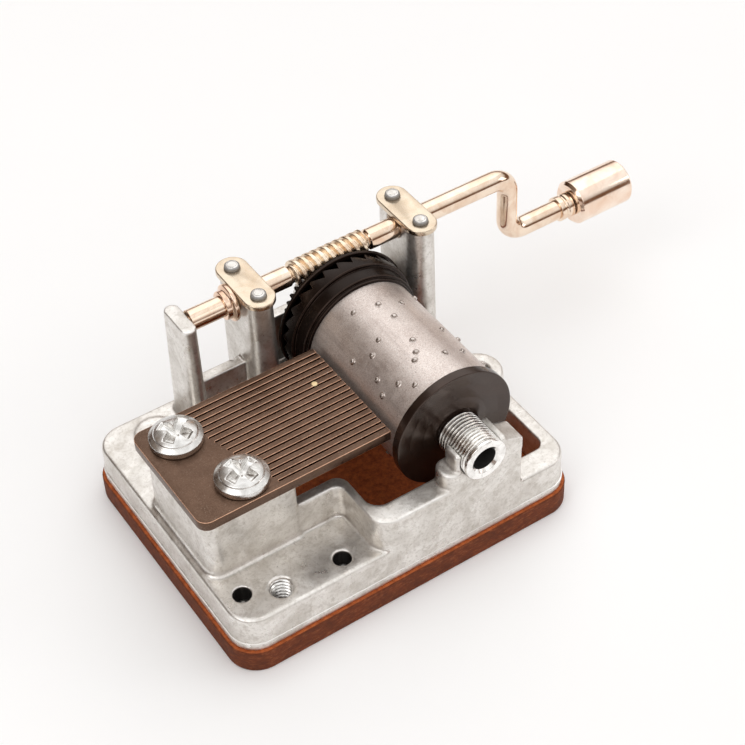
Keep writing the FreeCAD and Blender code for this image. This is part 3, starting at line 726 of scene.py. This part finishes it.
def casting(mat):
    """The CAD frame with hollow rounds at its feet and all its edges softened by a remesh."""
    bm = bmesh.new()
    bm.from_mesh(millimetre_copy("cast_frame"))
    bmesh.ops.remove_doubles(bm, verts=bm.verts, dist=2e-4)
    foot_fillet(bm, corner_ring(PEDESTAL), BASE_TOP, 0.75)
    for x, width in zip(POSTS_X, POST_WIDTHS):
        foot_fillet(bm, stadium_ring(x, CRANK_Y, POST_DEPTH, width + 0.35), BASE_TOP, 0.55)
    foot_fillet(bm, stadium_ring(*END_POST, *END_POST_SIZE), BASE_TOP, 0.5)
    mesh = bpy.data.meshes.new("casting")
    bmesh.ops.recalc_face_normals(bm, faces=bm.faces)
    bm.to_mesh(mesh)
    bm.free()
    made = remeshed(mesh, voxel=0.19, passes=3)
    finished("cast_body", made, "static", mat, ("cast_frame",), sharp=0)


def tapped_thread(mat):
    """Thread in the mounting hole, a tube with a closed wall behind it."""
    bm = bmesh.new()
    foot = (*MOUNT_HOLE, BOARD_TOP + 0.05)
    depth = BASE_TOP - TAP_DROP - BOARD_TOP - 0.05
    thread_grid(bm, foot, (0, 0, 1), (1, 0, 0), depth, TAP_ROOT, TAP_CREST, TAP_PITCH,
                root_share=0.85, crest_share=0.1, fade=0.25, segments=72, rows=12)
    wall = [(0, TAP_ROOT), (0, TAP_OUTER), (depth, TAP_OUTER), (depth, TAP_ROOT)]
    lathe(bm, wall, foot, (0, 0, 1), 56)
    mesh = bpy.data.meshes.new("tap_thread")
    bmesh.ops.remove_doubles(bm, verts=bm.verts, dist=1e-4)
    bm.to_mesh(mesh)
    bm.free()
    finished("tap_thread", mesh, "static", mat, sharp=30)


def stud_heads(mat):
    """The riveted tops of the posts' studs, above the straps."""
    parts = []
    for x in POSTS_X:
        for side in (-1, 1):
            profile = rounded([(-0.1, 0.9), (0.0, 1.0), (0.40, 1.0), (0.545, 0.6), (0.50, 0)],
                              [0, 0.05, 0.2, 0.4, 0], 5)
            parts.append((profile, (x, CRANK_Y + side * STUD_SPACING / 2, STRAP_TOP),
                          (0, 0, 1), False))
    turned("stud_heads", parts, "static", mat, segments=48)


def parting_line(mat, step=0.6, half=0.09):
    """Thin, uneven flash line round the base, with a new height every step or so."""
    ring = corner_ring([(side_x * BASE_HALF_X, side_y * BASE_HALF_Y, BASE_CORNER)
                        for side_x, side_y in ((-1, -1), (1, -1), (1, 1), (-1, 1))], 14)
    dense = []
    for i, (x, y) in enumerate(ring):
        nx, ny = ring[(i + 1) % len(ring)]
        span = math.hypot(nx - x, ny - y)
        count = max(1, int(span / step))
        for k in range(count):
            dense.append((x + (nx - x) * k / count, y + (ny - y) * k / count))
    bm = bmesh.new()
    count = len(dense)
    loops = [[], [], []]
    for i, (x, y) in enumerate(dense):
        ahead = Vector(dense[(i + 1) % count]) - Vector(dense[i - 1])
        ahead.normalize()
        out = Vector((ahead.y, -ahead.x))
        proud = 0.045 + 0.05 * random.random()
        z = PARTING_Z + 0.04 * random.random()
        for loop, (reach, dz) in zip(loops, ((-0.25, half), (proud, 0.0), (-0.25, -half))):
            loop.append(bm.verts.new((x + out.x * reach, y + out.y * reach, z + dz)))
    for low, high in zip(loops, loops[1:] + loops[:1]):
        band(bm, low, high)
    finished("parting_line", mesh_from(bm, "parting_line"), "static", mat, sharp=30)


# ---------------------------------------------------------------- comb, screws and sleeve

def comb_speck(mat):
    profile = rounded([(0, 0.42), (0.06, 0.36), (0.1, 0)], [0, 0.05, 0], 3)
    turned("comb_speck", [(profile, (*SPECK, COMB_TOP - 0.01), (0, 0, 1), False)], "static", mat,
           segments=24)


def smooth(a, b, x):
    """Eases from 0 at a to 1 at b."""
    t = min(1.0, max(0.0, (x - a) / (b - a)))
    return t * t * (3 - 2 * t)


def pan_height(x, y, turn):
    """Height above the comb of a pan head's top: a dome, less a cross of four flared wings
    round a deeper core, with a ridge in each corner between two wings."""
    r = math.hypot(x, y)
    dome = PAN_R * 1.62
    z = PAN_H - dome + math.sqrt(dome * dome - r * r)
    z -= 0.10 * smooth(2.62, 2.78, r)
    c, s = math.cos(turn), math.sin(turn)
    u, v = abs(x * c + y * s), abs(y * c - x * s)
    far, near = max(u, v), min(u, v)
    flare = 0.12 * far
    wing = (1 - smooth(0.27 + flare, 0.56 + flare, near)) * (1 - smooth(1.75, 2.25, far))
    deep = wing * (0.42 + 0.75 * (1 - smooth(0.2, 2.1, far)))
    core = 0.95 * (1 - smooth(0.45, 1.15, r))
    ridge = 0.22 * (1 - smooth(0.05, 0.16, abs(far - near))) * (1 - smooth(0.9, 1.5, r))
    return z - max(deep, core, ridge)


def in_slit(spot, normal):
    """True for the upright walls of the slits between the comb's teeth, which take a near-black
    colour as painted shade.
    """
    return abs(normal.z) < 0.3 and spot.x > SLIT_START and COMB_Y[0] < spot.y < COMB_Y[1]


def pan_heads(mat, around=288, along=84):
    bm = bmesh.new()
    for px, py, turn in PAN_SPOTS:
        rings = []
        for i in range(along + 1):
            r = (PAN_R - PAN_EDGE) * i / along
            ring = []
            for k in range(around if i else 1):
                t = 2 * math.pi * k / around
                x, y = r * math.cos(t), r * math.sin(t)
                ring.append(bm.verts.new((px + x, py + y,
                                          COMB_TOP + pan_height(x, y, math.radians(turn)))))
            rings.append(ring)
        edge = pan_height(PAN_R - PAN_EDGE, 0, 0)
        side = rounded([(edge, PAN_R - PAN_EDGE), (edge - 0.10, PAN_R), (0.12, PAN_R),
                        (0.0, PAN_R - 0.12), (0.0, SHANK_HOLE_R)], 0.12, 3)[1:]
        for z, r in side:
            rings.append([bm.verts.new((px + r * math.cos(2 * math.pi * k / around),
                                        py + r * math.sin(2 * math.pi * k / around),
                                        COMB_TOP + z)) for k in range(around)])
        for low, high in zip(rings, rings[1:]):
            for k in range(around):
                n = (k + 1) % around
                if len(low) == 1:
                    bm.faces.new((low[0], high[k], high[n]))
                else:
                    bm.faces.new((low[k], high[k], high[n], low[n]))
        shank = [(-SHANK_LENGTH, 0), (-SHANK_LENGTH, SHANK_R), (0.0, SHANK_R),
                 (0.0, SHANK_HOLE_R)]
        lathe(bm, shank, (px, py, COMB_TOP), (0, 0, 1), 40)
    finished("pan_screw_heads", mesh_from(bm, "pan_screw_heads"), "static", mat,
             ("comb_screws",), 50)


def sleeve(mat, dark):
    bm = bmesh.new()
    x, y0, z = DRUM_X, SLEEVE_Y[0], AXIS_Z
    length = SLEEVE_Y[1] - y0
    bore = ARBOR_R + 0.05
    root = SLEEVE_ROOT - 0.12
    outer = rounded([(0.4, bore), (0, bore + 0.38), (0, SLEEVE_R), (SLEEVE_RIM, SLEEVE_R),
                     (SLEEVE_RIM, root)], [0, 0.12, 0.16, 0.12, 0], 5)
    lathe(bm, outer, (x, y0, z), (0, 1, 0), 144)
    thread_grid(bm, (x, y0 + SLEEVE_RIM, z), (0, 1, 0), (1, 0, 0), length - SLEEVE_RIM, root,
                SLEEVE_R - 0.02, SLEEVE_PITCH, root_share=0.95, crest_share=0.60, segments=144,
                rows=16, inward=True)
    lathe(bm, [(length, root), (length, bore)], (x, y0, z), (0, 1, 0), 144)
    mesh = mesh_from(bm, "bearing_thread")
    finished("bearing_thread", mesh, "static", mat, ("bearing_sleeve",), 0)
    # the bore's wall is coloured near black: painted shade inside the hole
    hole = bmesh.new()
    lathe(hole, [(length, bore), (0.4, bore)], (x, y0, z), (0, 1, 0), 96)
    finished("bearing_bore", mesh_from(hole, "bearing_bore"), "static", dark)


# ---------------------------------------------------------------- drum

def drum(mat, pin_mat):
    y0, y1 = DRUM_Y
    shell = rounded([(0, DRUM_R), (y1 - y0, DRUM_R), (y1 - y0, DRUM_R - DRUM_WALL),
                     (0, DRUM_R - DRUM_WALL)], 0.08, 3, closed=True)
    turned("drum_skin", [(shell, (DRUM_X, y0, AXIS_Z), (0, 1, 0), True)], "drum", mat,
           ("drum_shell",), segments=256)
    spots = list(PIN_SPOTS)
    for track in range(TRACKS):
        for k in range(2 + track % 2):
            spots.append((track, 84 + (track * 61 + k * 79) % 190))  # a plain, scattered pattern
    parts = []
    for track, angle in spots:
        y = FIRST_TRACK_Y + (track + 0.5) * TRACK_STEP
        t = math.radians(angle)
        out = Vector((math.sin(t), 0, math.cos(t)))
        lean = (out + Vector((random.uniform(-0.03, 0.03), random.uniform(-0.04, 0.04),
                              0))).normalized()
        foot = Vector((DRUM_X, y, AXIS_Z)) + out * (DRUM_R - 0.1)
        profile = rounded([(0, 0.52), (0.115, 0.45), (0.15, 0.34), (0.38, 0.30),
                           (0.45, 0)], [0, 0.05, 0.05, 0.14, 0], 4)
        parts.append((profile, foot, lean, False))
    turned("drum_pins", parts, "drum", pin_mat, segments=20)


def front_cap(mat):
    y0, y1 = CAP_Y
    thick = y1 - y0
    inner = DRUM_R - 0.62
    profile = rounded([(-CAP_HUB, ARBOR_R + 0.02), (-CAP_HUB, 3.3), (0.02, 4.7), (0.1, 6.6),
                       (0.0, CAP_R - 0.25), (0.0, CAP_R), (thick, CAP_R), (thick, inner),
                       (thick + 2, inner), (thick + 2, inner - 1.2), (thick, inner - 1.2),
                       (thick, 3.2), (thick + 2, 3.2), (thick + 2, ARBOR_R + 0.02)],
                      [0, 0.12, 0.5, 1.2, 0.1, 0.16, 0.1, 0.1, 0.1, 0, 0, 0, 0, 0], 5)
    turned("cap_disc", [(profile, (DRUM_X, y0, AXIS_Z), (0, 1, 0), True)], "drum", mat,
           ("drum_front_cap",), segments=200)


def wheel(mat, wear_and_highlight):
    softened("wheel_body", "drum_gear", "drum", mat, 0.05, 30, 35, (wear_and_highlight,))


# ---------------------------------------------------------------- crank

def swept(bm, points, radius, segments=48):
    """Tube along points; the ends are left open, as other parts cover them."""
    rings = []
    side = Vector((0, 1, 0))
    for i, here in enumerate(points):
        ahead = (points[min(i + 1, len(points) - 1)] - points[max(i - 1, 0)]).normalized()
        other = ahead.cross(side).normalized()
        rings.append([bm.verts.new(here + (side * math.cos(t) + other * math.sin(t)) * radius)
                      for t in (2 * math.pi * k / segments for k in range(segments))])
    for low, high in zip(rings, rings[1:]):
        for k in range(segments):
            n = (k + 1) % segments
            bm.faces.new((low[k], high[k], high[n], low[n]))


def crank(mat, worm_mat):
    pitch = 2 * math.pi * WORM_PITCH_R / WORM_TEETH
    start = DRUM_X - pitch * (round((DRUM_X - WORM_CENTRE + WORM_LENGTH / 2) / pitch - 0.5)
                              + 0.5)
    end = start + WORM_LENGTH
    head = END_FACE + 0.1
    bm = bmesh.new()
    line = Vector((0, CRANK_Y, CRANK_Z))
    neck = WORM_ROOT - 0.03
    front = rounded([(head - 1.5, 0), (head - 1.5, 0.7), (head, 0.7), (head, ROD_R),
                     (start - 0.3, ROD_R), (start, neck)], [0, 0.12, 0, 0.1, 0.12, 0], 4)
    lathe(bm, front, line, (1, 0, 0), 64)
    worm = bmesh.new()
    thread_grid(worm, line + Vector((start, 0, 0)), (1, 0, 0), (0, 0, 1), WORM_LENGTH,
                WORM_ROOT, WORM_CREST, WORM_STARTS * pitch, WORM_STARTS, root_share=0.80,
                crest_share=0.42, fade=0.45, segments=72, rows=18, inward=True)
    finished("worm_thread", mesh_from(worm, "worm_thread"), "crank", worm_mat,
             sharp=0)
    lathe(bm, rounded([(end, neck), (end + 0.3, ROD_R), (end + 0.6, ROD_R)], 0.1, 4), line,
          (1, 0, 0), 64)
    steps = 14
    path = [Vector((end + 0.6 + (ARM_X - BEND - end - 0.6) * k / 6, CRANK_Y, CRANK_Z))
            for k in range(6)]
    for k in range(steps + 1):
        t = math.pi / 2 * k / steps
        path.append(Vector((ARM_X - BEND + BEND * math.sin(t), CRANK_Y,
                            CRANK_Z - BEND + BEND * math.cos(t))))
    for k in range(1, 5):
        path.append(Vector((ARM_X, CRANK_Y,
                            CRANK_Z - BEND + (KNOB_Z + 2 * BEND - CRANK_Z) * k / 5)))
    for k in range(steps + 1):
        t = math.pi / 2 * k / steps
        path.append(Vector((ARM_X + BEND - BEND * math.cos(t), CRANK_Y,
                            KNOB_Z + BEND - BEND * math.sin(t))))
    path.append(Vector((KNOB_X + GRIP_END, CRANK_Y, KNOB_Z)))
    swept(bm, path, ROD_R, 64)
    grip = Vector((0, CRANK_Y, KNOB_Z))
    ferrule = rounded([(KNOB_X - 2.35, 1.35), (KNOB_X - 2.35, FERRULE_R),
                       (KNOB_X - 1.55, FERRULE_R), (KNOB_X - 1.42, 1.6), (KNOB_X - 1.15, 1.6),
                       (KNOB_X - 1.02, FERRULE_R), (KNOB_X - 0.15, FERRULE_R),
                       (KNOB_X - 0.15, 1.35)], 0.13, 4)
    lathe(bm, ferrule, grip, (1, 0, 0), 64)
    bead = rounded([(KNOB_X + 3.4, 1.4), (KNOB_X + 3.6, 1.6), (KNOB_X + 4.1, 1.6),
                    (KNOB_X + 4.3, 1.4)], 0.1, 3)
    lathe(bm, bead, grip, (1, 0, 0), 64)
    cap = [(KNOB_X + GRIP_END, ROD_R), (KNOB_X + GRIP_END, 0)]
    lathe(bm, cap, grip, (1, 0, 0), 64)
    finished("crank_bar", mesh_from(bm, "crank_bar"), "crank", mat,
             ("crank_rod",), 40)


def collar(mat):
    end = POSTS_X[0] - 4.28 / 2 - 0.12
    bore = ROD_R + 0.02
    profile = rounded([(-1.5, bore), (-1.5, 1.95), (-0.8, 1.95), (-0.55, COLLAR_R),
                       (0, COLLAR_R), (0, bore)], [0, 0.2, 0.2, 0.22, 0.2, 0], 5, closed=True)
    turned("collar_ring", [(profile, (end, CRANK_Y, CRANK_Z), (1, 0, 0), True)], "crank", mat,
           ("crank_collar",), segments=72)


def knob(mat):
    bore = ROD_R + 0.05
    r = KNOB_R
    profile = rounded([(6.5, 0), (6.5, bore), (4.45, bore), (4.45, 1.72), (3.25, 1.72),
                       (3.25, bore), (0.25, bore), (0, bore + 0.3), (0, r - 0.42),
                       (0.42, r), (KNOB_LENGTH - 0.42, r), (KNOB_LENGTH, r - 0.42),
                       (KNOB_LENGTH, 0.5), (KNOB_LENGTH - 0.12, 0)],
                      [0, 0, 0, 0, 0, 0, 0.1, 0.1, 0.14, 0.16, 0.16, 0.14, 0.2, 0], 5)
    turned("knob_body", [(profile, (KNOB_X, CRANK_Y, KNOB_Z), (1, 0, 0), False)], "knob", mat,
           ("crank_knob",), segments=128)


# ---------------------------------------------------------------- the scene

zinc = zinc_casting()
copper = copper_plate("crank_plate", (0.93, 0.775, 0.63), (0.76, 0.54, 0.39), 0.06)
worm_copper = copper_plate("worm_plate", (0.93, 0.80, 0.64), (0.78, 0.59, 0.42), 0.20)
collar_copper = copper_plate("collar_plate", (0.88, 0.66, 0.51), (0.68, 0.43, 0.30), 0.08)
knob_copper = copper_plate("knob_plate", (0.98, 0.825, 0.70), (0.86, 0.635, 0.49), 0.07)
strap_copper = copper_plate("strap_plate", (0.74, 0.63, 0.495), (0.62, 0.49, 0.36), 0.20)

casting(zinc)
tapped_thread(bright_nickel("cut_thread", 0.22, 0.01, 0.78))
stud_heads(dull_steel("stud_zinc", 0.40, 0.45))
parting_line(zinc)
# the comb's bevels are coloured far lighter, as rubbed wear and painted highlight; the slit walls
# are coloured near black, as painted shade between the teeth
softened("comb_plate", "comb", "static", browned_steel("browned_steel", 0.70, 0.55),
         0.055, inside=in_slit,
         wear_and_highlight=(browned_steel("comb_edge_highlight", 4.0, 0.8), browned_steel("comb_slit_shade", 0.15, 0.1)))
comb_speck(copper_plate("speck_brass", (0.80, 0.66, 0.42), (0.60, 0.45, 0.25), 0.35))
pan_heads(bright_nickel("pan_plate", 0.19, 0.004, 0.80))
sleeve(bright_nickel("sleeve_plate", 0.14, 0.002, 1.0), dull_steel("bore_shade", 0.10, 0.30))
softened("strap_plate_inner", "strap_inner", "static", strap_copper, 0.08)
softened("strap_plate_outer", "strap_outer", "static", strap_copper, 0.08)
# the board's bevels take a lighter brown as painted highlight along its edges
softened("board_panel", "base_board", "static", hardboard("hardboard", 1.0), 0.12,
         wear_and_highlight=(hardboard("board_edge_highlight", 1.9),))
drum(drum_steel(), pin_steel())
front_cap(dark_plastic("cap_plastic", 0.13, 1.3, 0.6))
# the wheel's bevels take a lighter brown as painted highlight lines along their edges
wheel(dark_plastic("wheel_plastic", 0.16, 0.6, 0.2),
      dark_plastic("wheel_edge_highlight", 0.22, 1.8, 0.3))
crank(copper, worm_copper)
collar(collar_copper)
knob(knob_copper)

# The CAD nodes that are shown as they are
KEPT = {"board_screws": bright_nickel("board_screw_plate", 0.3, 0.01, 0.8),
        "comb_weights": dull_steel("weight_lead", 0.34),
        # the arbor is coloured near black: painted shade deep in the bearing's bore
        "drum_arbor": dull_steel("arbor_steel", 0.15)}
for name, mat in KEPT.items():
    data = nodes[name].data
    data.materials.clear()
    data.materials.append(mat)
    data.polygons.foreach_set("material_index", [0] * len(data.polygons))

camera()
sky()
floor()
for lamp in LAMPS:
    area_light(*lamp)
